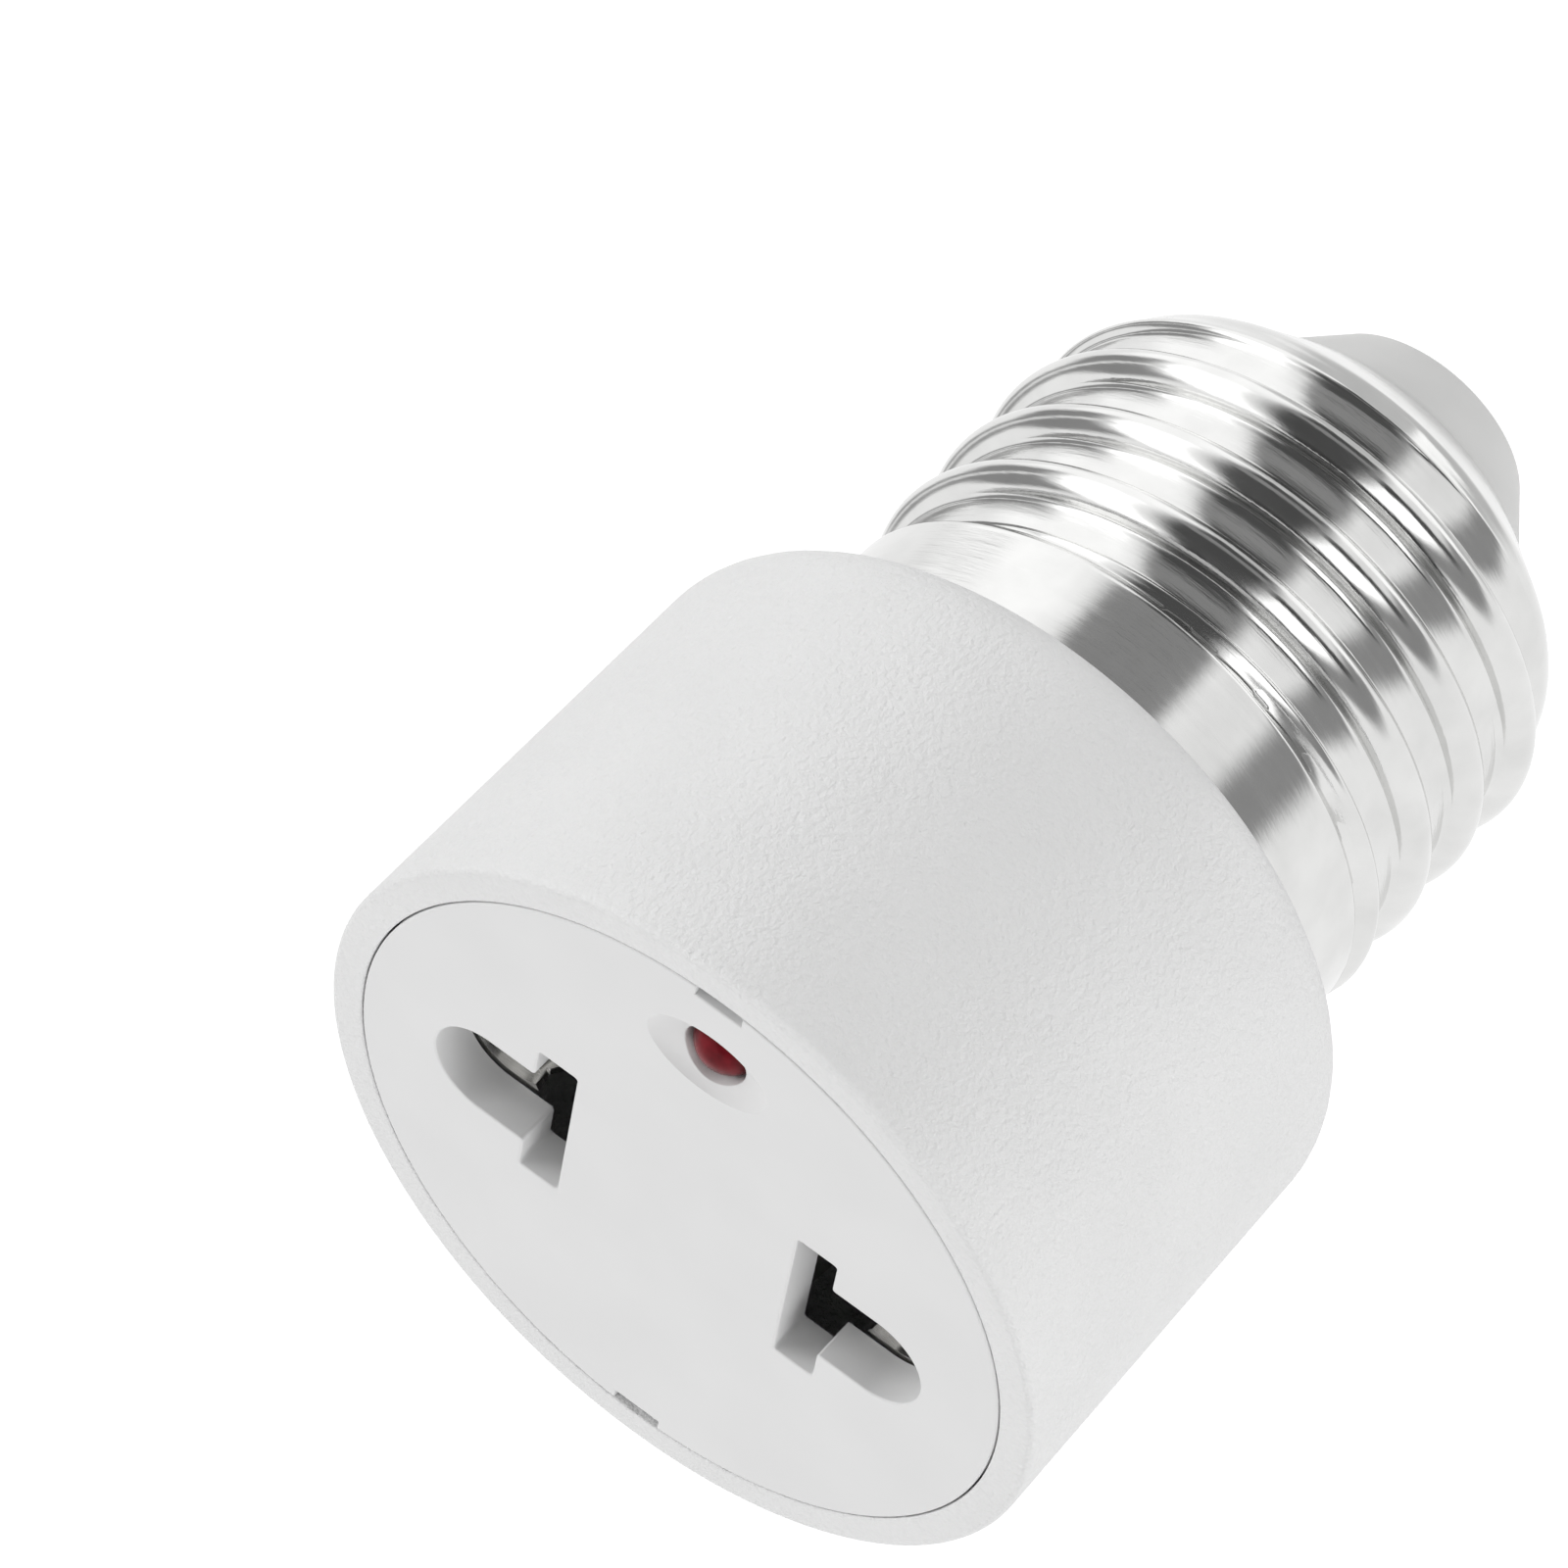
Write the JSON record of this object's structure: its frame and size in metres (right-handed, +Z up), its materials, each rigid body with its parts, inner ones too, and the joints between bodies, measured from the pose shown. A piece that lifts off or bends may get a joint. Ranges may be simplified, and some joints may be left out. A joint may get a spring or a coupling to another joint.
{
  "type": "light socket outlet adapter",
  "caption": "Screw-cap plug adapter: a threaded metal lamp cap under a round white housing whose face has combined pin and blade slots and a small red indicator lamp.",
  "frame": {"origin": "middle of the centre contact at the tip of the screw cap, the lowest point", "axes": "+Z up the axis from the tip to the socket face, +X along the line of the two pin slots, +Y towards the indicator lamp"},
  "size_m": [0.0344, 0.0344, 0.0508],
  "materials": {
    "housing_plastic": "fine moulded texture",
    "plate_plastic": "smooth satin",
    "shell_metal": "bright nickel plate",
    "tip_plastic": "semi-gloss",
    "tip_metal": "satin nickel plate",
    "contact_metal": "bright rolled strip",
    "lamp_tint": "clear dark red, glossy",
    "lead_metal": "tinned",
    "resistor_coat": "dipped lacquer",
    "diode_coat": "moulded black",
    "wire_metal": "bare copper strands",
    "wire_cover": "soft plastic insulation",
    "solder": "dull bright solder"
  },
  "bodies": {
    "root": {"housing": "housing_plastic", "face_plate": "plate_plastic", "screw_shell": "shell_metal", "tip_insulator": "tip_plastic", "tip_contact": "tip_metal", "contact_left": "contact_metal", "contact_right": "contact_metal", "indicator_lamp": "lamp_tint", "lamp_lead_left": "lead_metal", "lamp_lead_right": "lead_metal", "resistor": "resistor_coat", "resistor_upper_lead": "lead_metal", "resistor_lower_lead": "lead_metal", "diode": "diode_coat", "diode_upper_lead": "lead_metal", "diode_lower_lead": "lead_metal", "solder_joint_left": "solder", "solder_joint_right": "solder", "solder_lamp_left": "solder", "solder_lamp_right": "solder", "centre_wire_core": "wire_metal", "centre_wire_cover": "wire_cover", "shell_wire_core": "wire_metal", "shell_wire_cover": "wire_cover", "solder_supply_left": "solder", "solder_supply_right": "solder", "solder_tip": "solder", "solder_shell": "solder"}
  },
  "joints": []
}
